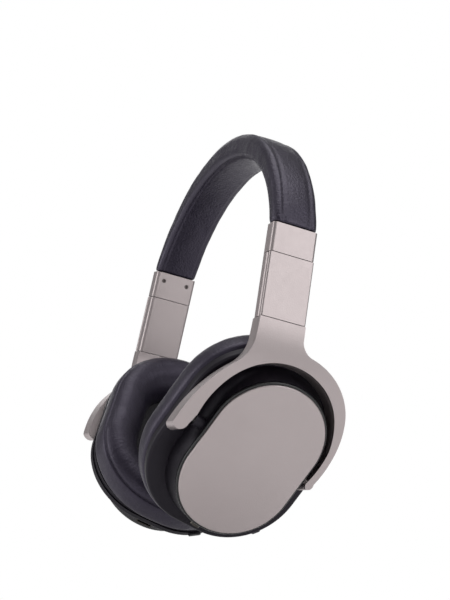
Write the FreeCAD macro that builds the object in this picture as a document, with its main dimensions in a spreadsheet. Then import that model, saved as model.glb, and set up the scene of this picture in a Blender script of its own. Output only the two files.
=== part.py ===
# Over-ear headphones.
# Frame: origin at the middle of the headband's underside, where it rests on a head or a stand.
# +Z up, +X towards the wearer's left ear, the wearer faces -Y. Millimetres.
import FreeCAD, Part
import math
import os
import Sketcher
from FreeCAD import Placement, Rotation, Vector

doc = FreeCAD.newDocument("headphones")
sheet = doc.addObject("Spreadsheet::Sheet", "Sizes")

SIZES = {
    # headband: each arch's crown height over the origin, and its half width at the caps' tops
    "cover_crown": 12.0, "cover_foot": 78.5, "head_foot": 70.5, "band_width": 23.0,
    "band_corner": 3.4, "leather_thickness": 1.2, "spring_crown": 3.0, "spring_foot": 74.1,
    "spring_thickness": 1.0, "spring_width": 17.0, "lining_width": 18.0, "foam_gap": 0.15,
    "cover_clear": 0.3, "rail_clear": 10.2,
    # end cap and slider arm, along the arm's axis from the cap's top
    "arm_lean": 5.1, "arm_width": 22.5, "arm_depth": 8.0, "arm_corner": 1.6, "cap_height": 14.0,
    "cap_top_out": 78.5, "cap_top_drop": 47.3, "yoke_seam": 45.0, "seam_gap": 0.35,
    "cavity_width": 19.6, "cavity_depth": 5.0, "guide_play": 0.1, "rail_width": 16.0,
    "rail_depth": 1.6, "rail_play": 0.15, "rail_inset": 0.9, "rail_above_cap": 9.5,
    "rail_in_arm": 10.0, "arm_skin": 2.0, "skin_gap": 0.15, "screw_spread": 6.7, "screw_drop": 4.4,
    "screw_head": 1.2, "screw_length": 1.35, "screw_key": 0.62, "screw_key_depth": 0.8,
    "cavity_corner": 0.8, "guide_corner": 0.7, "guide_end": 1.0, "rail_corner": 0.3,
    "arm_skin_corner": 0.8,
    "swivel_pin_radius": 2.2, "swivel_play": 0.05, "swivel_reach": 9.0,
    # yoke: a sheet bent to a radius, seen from the side as a stem and a fork
    "yoke_bend": 62.0, "yoke_depth": 8.0, "yoke_skin": 2.0,
    "fork_centre_back": 7.2, "fork_centre_drop": 96.9, "fork_radius": 33.8,
    # cup: oval stack along its own normal
    "cup_out": 53.0, "cup_back": 6.4, "cup_drop": 101.0, "cup_lean": 30.0, "cup_turn": 15.0,
    "plate_long": 38.5, "plate_wide": 27.5, "plate_corner": 27.0, "plate_level": 8.4,
    "plate_thickness": 1.8, "rim_width": 1.1, "rim_level": 7.6, "rim_height": 1.6,
    "shoulder_long": 42.2, "shoulder_wide": 30.0, "shoulder_corner": 29.2,
    "base_long": 46.5, "base_wide": 39.5, "base_corner": 33.0, "base_level": -7.0,
    "base_height": 3.6, "wall": 2.0, "deck": 1.8,
    "pivot_level": 3.8, "pivot_up": 2.0, "pivot_pin_radius": 1.5, "pivot_play": 0.05,
    "boss_radius": 2.9, "boss_front": 33.6, "boss_rear": 30.2,
    "pin_root_front": 27.0, "pin_head_front": 41.6, "pin_root_rear": 27.0, "pin_head_rear": 34.4,
    "pad_long": 50.0, "pad_wide": 41.0, "pad_corner": 37.5, "pad_level": -28.0, "pad_height": 18.3,
    "pad_hole_long": 28.0, "pad_hole_wide": 19.0, "pad_hole_corner": 18.5, "pad_round": 7.0,
    "pad_back_round": 4.0, "base_round": 1.4, "plate_round": 0.6, "rim_round": 0.5,
    # inside the cup: driver, baffle, board and battery
    "driver_radius": 20.0, "driver_depth": 6.2, "driver_wall": 1.6, "driver_room": 4.8,
    "driver_level": 0.3, "magnet_radius": 11.0, "magnet_height": 4.6, "magnet_level": 4.2,
    "magnet_seat": 9.0, "dome_radius": 17.0, "dome_level": 4.0, "dome_thickness": 0.5,
    "baffle_thickness": 1.6, "grille_lap": 1.8, "grille_thickness": 0.6, "ring_lap": 2.0,
    "board_wide": 20.0, "board_long": 25.0, "board_corner": 6.0, "board_thickness": 1.2,
    "battery_wide": 10.0, "battery_long": 6.2, "battery_corner": 1.5, "battery_down": 28.6,
    "battery_height": 4.8,
    # controls and sockets on the cups' base
    "button_length": 7.0, "button_height": 1.8, "button_depth": 2.2, "button_proud": 0.7,
    "button_play": 0.12, "key_level": 1.5, "switch_travel": 3.0,
    "jack_radius": 1.8, "jack_length": 14.0, "jack_body": 2.6, "socket_end": 42.4,
    "socket_level": 1.4, "port_wide": 4.4, "port_high": 1.9, "port_corner": 1.4,
    "port_wall": 0.7, "port_length": 6.2, "port_depth": 5.4, "port_rim_corner": 0.9,
    "board_level": 3.1, "battery_level": -3.4, "pad_ring_height": 2.2,
}

for row, (alias, value) in enumerate(SIZES.items(), start=1):
    sheet.set(f"A{row}", alias)
    sheet.set(f"B{row}", str(value))
    sheet.setAlias(f"B{row}", alias)
doc.recompute()

NODES = []
LEFT, RIGHT = 1, -1
SCREW_PLAY, SCREW_SINK = 0.05, 0.1
JACK_END = 0.8  # the jack's closed end
SLOT_SHIFT = 0.6  # a key's slot starts this far behind the key, clear of the baffle
ROOM = 60.0  # a cutting block's side, larger than what it cuts
CUT_THROUGH = 2.0  # how far a cutter runs past the face that it opens
CUT_BELOW_CAPS = 3.0  # the arches are cut level here, then trimmed square to each arm
SIDE_NAMES = {LEFT: "left", RIGHT: "right"}


def size(alias):
    return float(getattr(sheet, alias))


class Length:
    """A size: its value now, and the expression that binds it to the sheet."""

    def __init__(self, value, text):
        self.value, self.text = value, text

    def __add__(self, other):
        other = length(other)
        return Length(self.value + other.value, f"({self.text} + {other.text})")

    def __sub__(self, other):
        other = length(other)
        return Length(self.value - other.value, f"({self.text} - {other.text})")

    def __mul__(self, factor):
        return Length(self.value * factor, f"({self.text} * {factor})")

    def __neg__(self):
        return Length(-self.value, f"(-{self.text})")


def length(item):
    return item if isinstance(item, Length) else Length(float(item), f"({float(item)})")


def cell(alias):
    return Length(size(alias), "Sizes." + alias)


def keep(item, label, placement=None):
    """Give a finished sub-part its name and place, and list it for writing."""
    item.Label = label
    if placement is not None:
        item.Placement = placement
    NODES.append(item)
    return item


# ---------------------------------------------------------------- frames

def frame_from_axes(origin, axis_x, axis_y, axis_z):
    matrix = FreeCAD.Matrix(axis_x.x, axis_y.x, axis_z.x, origin.x,
                            axis_x.y, axis_y.y, axis_z.y, origin.y,
                            axis_x.z, axis_y.z, axis_z.z, origin.z,
                            0, 0, 0, 1)
    return Placement(matrix)


def side_frame(side):
    """X outwards, Y to the rear on the left and to the front on the right, Z up."""
    turn = 0 if side == LEFT else 180
    return Placement(Vector(0, 0, 0), Rotation(Vector(0, 0, 1), turn))


def arm_frame(side):
    """Origin at the middle of the cap's top, Y outwards, Z up along the arm."""
    lean = math.radians(size("arm_lean"))
    outward = Vector(math.cos(lean), 0, math.sin(lean))
    upward = Vector(-math.sin(lean), 0, math.cos(lean))
    top = Vector(size("cap_top_out"), 0, -size("cap_top_drop"))
    centre = top - outward * (size("arm_depth") / 2)
    local = frame_from_axes(centre, outward.cross(upward), outward, upward)
    return side_frame(side).multiply(local)


def cup_axes():
    """The cup's normal, its short axis and its long axis, on the left."""
    lean, turn = math.radians(size("cup_lean")), math.radians(size("cup_turn"))
    normal = Vector(math.cos(lean), 0, -math.sin(lean))
    upright = Vector(math.sin(lean), 0, math.cos(lean))
    back = Vector(0, 1, 0)
    long_axis = upright * math.cos(turn) + back * math.sin(turn)
    short_axis = back * math.cos(turn) - upright * math.sin(turn)
    return normal, short_axis, long_axis


def cup_origin():
    return Vector(size("cup_out"), size("cup_back"), -size("cap_top_drop") - size("cup_drop"))


def cup_frame(side):
    """Origin on the cup's axis, Y along the long axis, Z outwards; X is the rear on the left."""
    normal, short_axis, long_axis = cup_axes()
    origin = cup_origin()
    if side == RIGHT:
        normal = Vector(-normal.x, normal.y, normal.z)
        long_axis = Vector(-long_axis.x, long_axis.y, long_axis.z)
        short_axis = Vector(short_axis.x, -short_axis.y, -short_axis.z)
        origin = Vector(-origin.x, origin.y, origin.z)
    return frame_from_axes(origin, short_axis, long_axis, normal)


# ---------------------------------------------------------------- modelling helpers

def bind(item, property_name, amount):
    item.setExpression(property_name, length(amount).text)


def new_part(kind, name, **amounts):
    """A Part primitive whose sizes are bound to the sheet."""
    item = doc.addObject("Part::" + kind, name)
    for property_name, amount in amounts.items():
        bind(item, property_name, amount)
    return item


def shifted(frame, x=0.0, y=0.0, z=0.0, axis=None, angle=0.0):
    """A frame moved by x, y, z in its own axes, then turned about one of them."""
    turn = Rotation(axis, angle) if axis is not None else Rotation()
    return frame.multiply(Placement(Vector(x, y, z), turn))


def combine(kind, name, *items):
    """A Part cut of two solids, or a fuse of several."""
    result = doc.addObject("Part::" + kind, name)
    if kind == "MultiFuse":
        result.Shapes = list(items)
    else:
        result.Base, result.Tool = items
    return result


def new_body(name):
    return doc.addObject("PartDesign::Body", name)


def new_sketch(body, name, role="XY_Plane", level=0.0):
    """A sketch on one of the body's origin planes, raised to a level."""
    sketch = body.newObject("Sketcher::SketchObject", name)
    plane = next(item for item in body.Origin.OriginFeatures if item.Role == role)
    sketch.AttachmentSupport = [(plane, "")]
    sketch.MapMode = "FlatFace"
    bind(sketch, "AttachmentOffset.Base.z", level)
    return sketch


def draw_oval(sketch, half_x, half_y, corner, centre_x=0.0, centre_y=0.0):
    """A rounded rectangle, fully constrained."""
    half_x, half_y, corner = length(half_x), length(half_y), length(corner)
    centre_x, centre_y = length(centre_x), length(centre_y)
    west, east = centre_x - half_x, centre_x + half_x
    south, north = centre_y - half_y, centre_y + half_y
    first = sketch.GeometryCount
    radius = corner.value
    middles = [(east, north, -1, -1, 0), (west, north, 1, -1, 90),
               (west, south, 1, 1, 180), (east, south, -1, 1, 270)]
    for side_x, side_y, step_x, step_y, start in middles:
        middle = Vector(side_x.value + step_x * radius, side_y.value + step_y * radius, 0)
        circle = Part.Circle(middle, Vector(0, 0, 1), radius)
        sketch.addGeometry(Part.ArcOfCircle(circle, math.radians(start), math.radians(start + 90)))
    for index in range(4):
        arc, following = sketch.Geometry[first + index], sketch.Geometry[first + (index + 1) % 4]
        sketch.addGeometry(Part.LineSegment(arc.EndPoint, following.StartPoint))
    for index in range(4):
        arc, line, following = first + index, first + 4 + index, first + (index + 1) % 4
        sketch.addConstraint(Sketcher.Constraint("Tangent", arc, 2, line, 1))
        sketch.addConstraint(Sketcher.Constraint("Tangent", line, 2, following, 1))
        if index < 3:
            sketch.addConstraint(Sketcher.Constraint("Equal", first, following))
    number = sketch.addConstraint(Sketcher.Constraint("Radius", first, radius))
    sketch.setExpression(f"Constraints[{number}]", corner.text)
    top, left, bottom, right = range(first + 4, first + 8)
    sides = [("DistanceY", top, north), ("DistanceX", left, west),
             ("DistanceY", bottom, south), ("DistanceX", right, east)]
    for kind, line, amount in sides:
        direction = "Horizontal" if kind == "DistanceY" else "Vertical"
        sketch.addConstraint(Sketcher.Constraint(direction, line))
        if abs(amount.value) < 1e-6:
            continue
        ends = (-1, 1, line, 1) if amount.value > 0 else (line, 1, -1, 1)
        number = sketch.addConstraint(Sketcher.Constraint(kind, *ends, abs(amount.value)))
        text = amount.text if amount.value > 0 else (-amount).text
        sketch.setExpression(f"Constraints[{number}]", text)


def draw_circle(sketch, radius, centre_x=0.0, centre_y=0.0):
    radius, centre_x, centre_y = length(radius), length(centre_x), length(centre_y)
    circle = Part.Circle(Vector(centre_x.value, centre_y.value, 0), Vector(0, 0, 1), radius.value)
    index = sketch.addGeometry(circle)
    number = sketch.addConstraint(Sketcher.Constraint("Radius", index, radius.value))
    sketch.setExpression(f"Constraints[{number}]", radius.text)
    for kind, amount in (("DistanceX", centre_x), ("DistanceY", centre_y)):
        if abs(amount.value) < 1e-6:
            continue
        ends = (-1, 1, index, 3) if amount.value > 0 else (index, 3, -1, 1)
        number = sketch.addConstraint(Sketcher.Constraint(kind, *ends, abs(amount.value)))
        text = amount.text if amount.value > 0 else (-amount).text
        sketch.setExpression(f"Constraints[{number}]", text)


def add_pad(body, sketch, depth, reverse=False, both_ways=False):
    """Adds material along the sketch's normal."""
    feature = body.newObject("PartDesign::Pad", sketch.Name + "Pad")
    feature.Profile = sketch
    feature.Reversed = reverse
    feature.Midplane = both_ways
    bind(feature, "Length", depth)
    return feature


def add_pocket(body, sketch, depth, upward=True, both_ways=False):
    """Removes material; upward means along the sketch's normal."""
    feature = body.newObject("PartDesign::Pocket", sketch.Name + "Pocket")
    feature.Profile = sketch
    feature.Reversed = upward
    feature.Midplane = both_ways
    bind(feature, "Length", depth)
    return feature


def round_edges(body, feature, radius, wanted):
    """Fillets the edges of a feature whose middle point is wanted."""
    doc.recompute()
    names = []
    for number, edge in enumerate(feature.Shape.Edges, start=1):
        first, last = edge.ParameterRange
        if wanted(edge.valueAt((first + last) / 2)):
            names.append(f"Edge{number}")
    fillet = body.newObject("PartDesign::Fillet", feature.Name + "Round")
    fillet.Base = (feature, names)
    bind(fillet, "Radius", radius)
    return fillet


def oval_plate(name, half_x, half_y, corner, bottom, height, hole=None, edge_round=None):
    """A flat plate with an oval outline, an optional hole and a rounded upper edge."""
    body = new_body(name)
    outline = new_sketch(body, name + "Outline", level=bottom)
    draw_oval(outline, half_x, half_y, corner)
    plate = add_pad(body, outline, height)
    if edge_round is not None:
        top = length(bottom).value + length(height).value
        plate = round_edges(body, plate, edge_round, lambda point: abs(point.z - top) < 1e-3)
    if hole is not None:
        opening = new_sketch(body, name + "Opening", level=bottom)
        draw_oval(opening, *hole)
        add_pocket(body, opening, height)
    return body


# ---------------------------------------------------------------- headband

def arch_radius(crown, foot):
    """The radius of an arc over the crown that passes the caps' tops at the foot's half width."""
    rise = crown + cell("cap_top_drop")
    radius = (rise.value ** 2 + foot.value ** 2) / (2 * rise.value)
    return Length(radius, f"(({rise.text} ^ 2 + {foot.text} ^ 2) / (2 * {rise.text}))")


def arch_band(name, outer, inner, half_width, above_caps, corner=None):
    """A band between two arcs, each given by its crown and foot, that ends above the caps."""
    body = new_body(name)
    disc = new_sketch(body, name + "Outer", role="XZ_Plane")
    radius = arch_radius(*outer)
    draw_circle(disc, radius, 0.0, outer[0] - radius)
    add_pad(body, disc, half_width * 2, both_ways=True)
    hole = new_sketch(body, name + "Inner", role="XZ_Plane")
    radius = arch_radius(*inner)
    draw_circle(hole, radius, 0.0, inner[0] - radius)
    add_pocket(body, hole, half_width * 2 + 2, both_ways=True)
    below = new_sketch(body, name + "Below", role="XZ_Plane")
    draw_oval(below, ROOM * 2, ROOM, 1, 0.0, -cell("cap_top_drop") - CUT_BELOW_CAPS - ROOM)
    band = add_pocket(body, below, half_width * 2 + 2, both_ways=True)
    if corner is not None:
        level = 0.1 - size("cap_top_drop") - CUT_BELOW_CAPS
        round_edges(body, band, corner, lambda point: abs(point.y) > half_width.value - 0.01
                    and point.z > level)
    trimmed = body
    for side, side_name in SIDE_NAMES.items():
        block = new_part("Box", name + "Trim" + side_name, Length=ROOM, Width=ROOM * 2, Height=ROOM)
        block.Placement = shifted(arm_frame(side), x=-ROOM / 2, y=-ROOM * 1.5, z=above_caps - ROOM)
        trimmed = combine("Cut", name + side_name, trimmed, block)
    return trimmed


def make_headband():
    skin, gap, half_width = cell("leather_thickness"), cell("foam_gap"), cell("band_width") * 0.5
    outer = (cell("cover_crown"), cell("cover_foot"))
    inner = (length(0.0), cell("head_foot"))
    room_outer = [amount - skin for amount in outer]
    room_inner = [amount + skin for amount in inner]
    spring_inner = [cell("spring_crown"), cell("spring_foot")]
    spring_outer = [amount + cell("spring_thickness") for amount in spring_inner]

    foot, rail_top = size("cover_clear"), size("rail_clear")
    whole = arch_band("CoverWhole", outer, inner, half_width, foot, cell("band_corner"))
    room = arch_band("CoverRoom", room_outer, room_inner, half_width - skin, foot - 1)
    keep(combine("Cut", "CoverShell", whole, room), "headband_cover")
    spring = arch_band("Spring", spring_outer, spring_inner, cell("spring_width") * 0.5, rail_top)
    keep(spring, "headband_spring")
    lining = arch_band("Lining", [amount - gap for amount in spring_inner],
                       [amount + gap for amount in room_inner], cell("lining_width") * 0.5, rail_top)
    keep(lining, "headband_lining")
    padding = arch_band("Padding", [amount - gap for amount in room_outer],
                        [amount + gap for amount in spring_outer],
                        half_width - skin - gap - 1.2, rail_top)
    keep(padding, "headband_padding")


def make_end_cap(side):
    side_name = SIDE_NAMES[side]
    height, half_width, half_depth = cell("cap_height"), cell("arm_width") * 0.5, cell("arm_depth") * 0.5
    cavity = (cell("cavity_width") * 0.5, cell("cavity_depth") * 0.5, cell("cavity_corner"))
    body = new_body("Cap" + side_name)
    outline = new_sketch(body, "CapOutline" + side_name, level=-height)
    draw_oval(outline, half_width, half_depth, cell("arm_corner"))
    block = add_pad(body, outline, height)
    opening = new_sketch(body, "CapOpening" + side_name, level=-height)
    draw_oval(opening, *cavity)
    add_pocket(body, opening, height)
    for number in LEFT, RIGHT:
        hole = new_sketch(body, f"CapScrewHole{side_name}{number + 1}", role="XZ_Plane")
        draw_circle(hole, cell("screw_head"), number * cell("screw_spread").value, -cell("screw_drop"))
        add_pocket(body, hole, half_depth + 1)
    keep(body, "end_cap_" + side_name, arm_frame(side))

    play, end = cell("guide_play"), cell("guide_end")
    slot = (cell("rail_width") * 0.5 + cell("rail_play"), cell("rail_depth") * 0.5 + cell("rail_play"),
            cell("rail_corner"), 0.0, -cell("rail_inset"))
    guide = oval_plate("Guide" + side_name, cavity[0] - play, cavity[1] - play, cell("guide_corner"),
                       end - height, height - end * 2, hole=slot)
    keep(guide, "rail_guide_" + side_name, arm_frame(side))


def make_cap_screws(side):
    """Two socket-head screws in the cap's inner face."""
    side_name = SIDE_NAMES[side]
    for number, place in ((1, LEFT), (2, RIGHT)):
        tag = f"{side_name}{number}"
        shank = new_part("Cylinder", "Screw" + tag, Radius=cell("screw_head") - SCREW_PLAY,
                         Height=cell("screw_length"))
        socket = new_part("Prism", "ScrewKey" + tag, Circumradius=cell("screw_key"),
                          Height=cell("screw_key_depth"))
        screw = combine("Cut", "ScrewCut" + tag, shank, socket)
        frame = shifted(arm_frame(side), x=place * size("screw_spread"),
                        y=SCREW_SINK - size("arm_depth") / 2, z=-size("screw_drop"),
                        axis=Vector(1, 0, 0), angle=-90)
        keep(screw, f"cap_screw_{side_name}_{number}", frame)


# ---------------------------------------------------------------- slider arm

def make_slider(side):
    """The arm below the cap: an inner shell, an outer skin and the steel rail that slides."""
    side_name = SIDE_NAMES[side]
    frame = arm_frame(side)
    gap, skin = cell("seam_gap"), cell("arm_skin")
    bottom = gap - cell("yoke_seam")
    height = cell("yoke_seam") - cell("cap_height") - gap * 2
    half_width, half_depth = cell("arm_width") * 0.5, cell("arm_depth") * 0.5

    shell = new_body("ArmShell" + side_name)
    outline = new_sketch(shell, "ArmShellOutline" + side_name, level=bottom)
    draw_oval(outline, half_width, half_depth - skin * 0.5, cell("arm_corner"), centre_y=-skin * 0.5)
    add_pad(shell, outline, height)
    slot = new_sketch(shell, "ArmRailSlot" + side_name, level=bottom + height)
    rail_oval = (cell("rail_width") * 0.5, cell("rail_depth") * 0.5, cell("rail_corner"),
                 0.0, -cell("rail_inset"))
    draw_oval(slot, *rail_oval)
    add_pocket(shell, slot, cell("rail_in_arm"), upward=False)
    bore = new_sketch(shell, "ArmSwivelBore" + side_name, level=bottom)
    draw_circle(bore, cell("swivel_pin_radius") + cell("swivel_play"), 0.0, -skin * 0.5)
    add_pocket(shell, bore, cell("swivel_reach") + 0.3)
    keep(shell, "slider_shell_" + side_name, frame)

    cover_depth = skin - cell("skin_gap")
    cover = new_body("ArmSkin" + side_name)
    outline = new_sketch(cover, "ArmSkinOutline" + side_name, level=bottom)
    draw_oval(outline, half_width, cover_depth * 0.5, cell("arm_skin_corner"),
              centre_y=half_depth - cover_depth * 0.5)
    add_pad(cover, outline, height)
    keep(cover, "slider_skin_" + side_name, frame)

    rail_bottom = bottom + height - cell("rail_in_arm")
    rail_height = cell("rail_in_arm") + cell("cap_height") + gap + cell("rail_above_cap")
    rail = new_body("Rail" + side_name)
    outline = new_sketch(rail, "RailOutline" + side_name, level=rail_bottom)
    draw_oval(outline, *rail_oval)
    add_pad(rail, outline, rail_height)
    keep(rail, "slider_rail_" + side_name, frame)


# ---------------------------------------------------------------- yoke

def fork_outline(side):
    """The yoke seen from the side: a stem that flares into a fork with a long rear arm.

    Points are (towards the rear, up from the cap's top), and each arc runs through one."""
    half_stem, seam = size("arm_width") / 2, -size("yoke_seam")
    stem_top = seam + 2.0
    mid_y, mid_z, inner = size("fork_centre_back"), -size("fork_centre_drop"), size("fork_radius")

    def on_circle(degrees):
        angle = math.radians(degrees)
        return (mid_y + inner * math.cos(angle), mid_z + inner * math.sin(angle))

    stem_rear, stem_front = (half_stem, stem_top), (-half_stem, stem_top)
    rear_flare = [(half_stem + 0.3, seam - 7.0), (half_stem + 2.2, seam - 10.6), (18.0, seam - 13.2)]
    rear_arm = [(18.0, seam - 13.2), (37.3, -71.1), (44.4, -93.0)]
    rear_edge = [(44.4, -93.0), (43.3, -101.5), (40.3, -110.0)]
    rear_tip = [(40.3, -110.0), (38.1, -112.6), (36.5, -110.0)]
    rear_inner = [(36.5, -110.0), (39.5, -102.8), on_circle(3)]
    crown = [on_circle(3), on_circle(95), on_circle(172)]
    front_inner = [on_circle(172), (-28.6, -96.8)]
    front_tip = [(-28.6, -96.8), (-32.4, -99.9), (-35.7, -97.0)]
    front_edge = [(-35.7, -97.0), (-31.0, -83.9), (-18.5, -68.0)]
    front_flare = [(-18.5, -68.0), (-13.6, -62.4), (-half_stem - 0.3, -54.0)]
    drop = -size("cap_top_drop")
    edges = []
    for run in (rear_flare, rear_arm, rear_edge, rear_tip, rear_inner, crown,
                front_inner, front_tip, front_edge, front_flare):
        points = [Vector(0, side * back, up + drop) for back, up in run]
        edges.append(Part.LineSegment(*points) if len(points) == 2 else Part.Arc(*points))
    ends = [Vector(0, side * back, up + drop) for back, up in
            (front_flare[-1], stem_front, stem_rear, rear_flare[0])]
    edges += [Part.LineSegment(first, last) for first, last in zip(ends, ends[1:])]
    return Part.Face(Part.Wire(Part.__sortEdges__([edge.toShape() for edge in edges])))


def bend_centre():
    """The bend's centre, so that its outer face meets the arm's outer face at the seam."""
    lean, bend = math.radians(size("arm_lean")), size("yoke_bend")
    outer_x = size("cap_top_out") + size("yoke_seam") * math.sin(lean)
    outer_z = -size("cap_top_drop") - size("yoke_seam") * math.cos(lean)
    return Vector(outer_x - bend * math.cos(lean), 0, outer_z - bend * math.sin(lean))


def bent_sheet(name, side, outer, inner):
    """The part of a sheet that lies inside the fork's outline.

    The sheet bends from the arm's lean to the cup's lean, and runs straight from there on."""
    reach = 150.0
    tool = doc.addObject("Part::Feature", name + "Outline")
    tool.Shape = fork_outline(side).extrude(Vector(reach, 0, 0))
    across = Rotation(Vector(1, 0, 0), 90)
    bend = Placement(bend_centre() + Vector(0, reach / 2, 0), across)
    straight = shifted(bend, axis=Vector(0, 0, 1), angle=-size("cup_lean"))
    rounds = []
    for radius, tag in ((outer, "Outer"), (inner, "Inner")):
        rod = new_part("Cylinder", name + tag, Radius=radius, Height=reach)
        rod.Placement = bend
        rounds.append(rod)
    below_bend = new_part("Box", name + "BelowBend", Length=reach, Width=reach, Height=reach)
    below_bend.Placement = shifted(straight, x=-ROOM / 2, y=-reach)
    slab = new_part("Box", name + "Slab", Length=outer - inner, Width=ROOM, Height=reach)
    slab.Placement = shifted(straight, x=inner.value, y=-ROOM)
    above_seam = new_part("Box", name + "Above", Length=ROOM, Width=ROOM, Height=ROOM)
    above_seam.Placement = side_frame(side).inverse().multiply(
        shifted(arm_frame(side), x=-ROOM / 2, y=-ROOM / 2, z=-size("yoke_seam")))
    shell = combine("Cut", name + "Shell", *rounds)
    bent = combine("Cut", name + "Bent", shell, below_bend)
    sheet_part = combine("MultiFuse", name + "Joined", bent, slab)
    inside = combine("Common", name + "Sheet", sheet_part, tool)
    return combine("Cut", name + "Trimmed", inside, above_seam)


def make_yoke(side):
    side_name = SIDE_NAMES[side]
    frame = side_frame(side)
    outer, skin = cell("yoke_bend"), cell("yoke_skin")
    skin_inner = outer - skin + cell("skin_gap")
    keep(bent_sheet("YokeSkin" + side_name, side, outer, skin_inner), "yoke_skin_" + side_name, frame)
    blank = bent_sheet("YokeFrame" + side_name, side, outer - skin, outer - cell("yoke_depth"))

    pin_radius, reach = cell("swivel_pin_radius"), cell("swivel_reach")
    pin_offset = -size("arm_skin") / 2
    pin_frame = shifted(arm_frame(side), y=pin_offset, z=-size("yoke_seam") - size("swivel_reach"))
    pin = new_part("Cylinder", "SwivelPin" + side_name, Radius=pin_radius, Height=reach * 2)
    keep(pin, "swivel_pin_" + side_name, pin_frame)
    bore = new_part("Cylinder", "SwivelBore" + side_name, Radius=pin_radius, Height=reach * 2)
    bore.Placement = frame.inverse().multiply(pin_frame)

    drills = [bore]
    for end, sign in (("front", -1), ("rear", 1)):
        head = size("pin_head_" + end)
        inner = size("pin_root_" + end)
        start = shifted(cup_frame(side), x=side * sign * inner, y=size("pivot_up"),
                        z=size("pivot_level"), axis=Vector(0, 1, 0), angle=90 * side * sign)
        axle = new_part("Cylinder", f"PivotPin{end}{side_name}", Radius=cell("pivot_pin_radius"),
                        Height=cell("pin_head_" + end) - cell("pin_root_" + end))
        keep(axle, f"pivot_pin_{end}_{side_name}", start)
        drill = new_part("Cylinder", f"PivotBore{end}{side_name}", Radius=cell("pivot_pin_radius"),
                         Height=head - inner)
        drill.Placement = frame.inverse().multiply(start)
        drills.append(drill)
    drill_set = combine("MultiFuse", "YokeDrills" + side_name, *drills)
    keep(combine("Cut", "YokeFrameCut" + side_name, blank, drill_set), "yoke_frame_" + side_name, frame)


# ---------------------------------------------------------------- cup

def make_housing(side):
    """The cup's black housing: a straight base, then a shoulder that narrows to the plate."""
    side_name = SIDE_NAMES[side]
    base, shoulder_level = cell("base_level"), cell("base_level") + cell("base_height")
    wall, deck_level = cell("wall"), cell("rim_level") - cell("deck")
    base_oval = (cell("base_wide"), cell("base_long"), cell("base_corner"))
    body = new_body("Housing" + side_name)
    outline = new_sketch(body, "BaseOutline" + side_name, level=base)
    draw_oval(outline, *base_oval)
    block = add_pad(body, outline, cell("base_height"))
    top = shoulder_level.value
    round_edges(body, block, cell("base_round"), lambda point: abs(point.z - top) < 1e-3)
    lower = new_sketch(body, "ShoulderFoot" + side_name, level=shoulder_level - 0.5)
    draw_oval(lower, cell("shoulder_wide"), cell("shoulder_long"), cell("shoulder_corner"))
    upper = new_sketch(body, "ShoulderTop" + side_name, level=cell("rim_level"))
    rim = cell("rim_width")
    draw_oval(upper, cell("plate_wide") + rim, cell("plate_long") + rim, cell("plate_corner") + rim)
    loft = body.newObject("PartDesign::AdditiveLoft", "Shoulder" + side_name)
    loft.Profile = lower
    loft.Sections = [upper]
    loft.Ruled = True
    for end, sign in (("front", -1), ("rear", 1)):
        boss = new_sketch(body, f"Boss{end}{side_name}", role="YZ_Plane")
        draw_circle(boss, cell("boss_radius"), cell("pivot_up"), cell("pivot_level"))
        add_pad(body, boss, cell("boss_" + end), reverse=(side * sign < 0))
    inset = cell("rim_width") * -1 - 0.1
    hollows = [("Upper", deck_level - base, [cell(name) + inset for name in
                                             ("plate_wide", "plate_long", "plate_corner")]),
               ("Lower", cell("base_height") - 1.2, [amount - wall for amount in base_oval])]
    for name, height, oval in hollows:
        hollow = new_sketch(body, name + "Hollow" + side_name, level=base)
        draw_oval(hollow, *oval)
        add_pocket(body, hollow, height)
    bore = new_sketch(body, "PivotBore" + side_name, role="YZ_Plane")
    draw_circle(bore, cell("pivot_pin_radius") + cell("pivot_play"), cell("pivot_up"), cell("pivot_level"))
    add_pocket(body, bore, 100, both_ways=True)
    return body


def rim_place(side, degrees, inset, level):
    """A frame on the base's lower rear corner: Y outwards, Z along the cup's normal."""
    corner, turn = size("base_corner"), math.radians(degrees)
    outward = Vector(side * math.cos(turn), -math.sin(turn), 0)
    centre = Vector(side * (size("base_wide") - corner), corner - size("base_long"), level)
    place = centre + outward * (corner - inset)
    heading = math.degrees(math.atan2(-outward.x, outward.y))
    return shifted(cup_frame(side), place.x, place.y, place.z, Vector(0, 0, 1), heading)


def oval_key(name, half_length, half_height, depth):
    """A key with rounded ends that grows outwards, along Y."""
    body = new_body(name)
    outline = new_sketch(body, name + "Outline", role="XZ_Plane")
    draw_oval(outline, half_length, half_height, half_height - 0.05)
    add_pad(body, outline, depth, reverse=True)
    return body


def cup_key(side, label, degrees, half_length, travel=0.0):
    """A key in a slot through the base's wall; returns the block that cuts the slot."""
    depth, play = cell("button_depth"), cell("button_play")
    frame = rim_place(side, degrees, size("button_depth") - size("button_proud"),
                      size("base_level") + size("key_level"))
    half_height = cell("button_height") * 0.5
    keep(oval_key(label + "_key", half_length, half_height, depth), label, frame)
    slot = oval_key(label + "_slot", half_length + play + travel * 0.5, half_height + play,
                    depth + CUT_THROUGH)
    slot.Placement = shifted(frame, x=travel / 2, y=-SLOT_SHIFT)
    return slot


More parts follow.
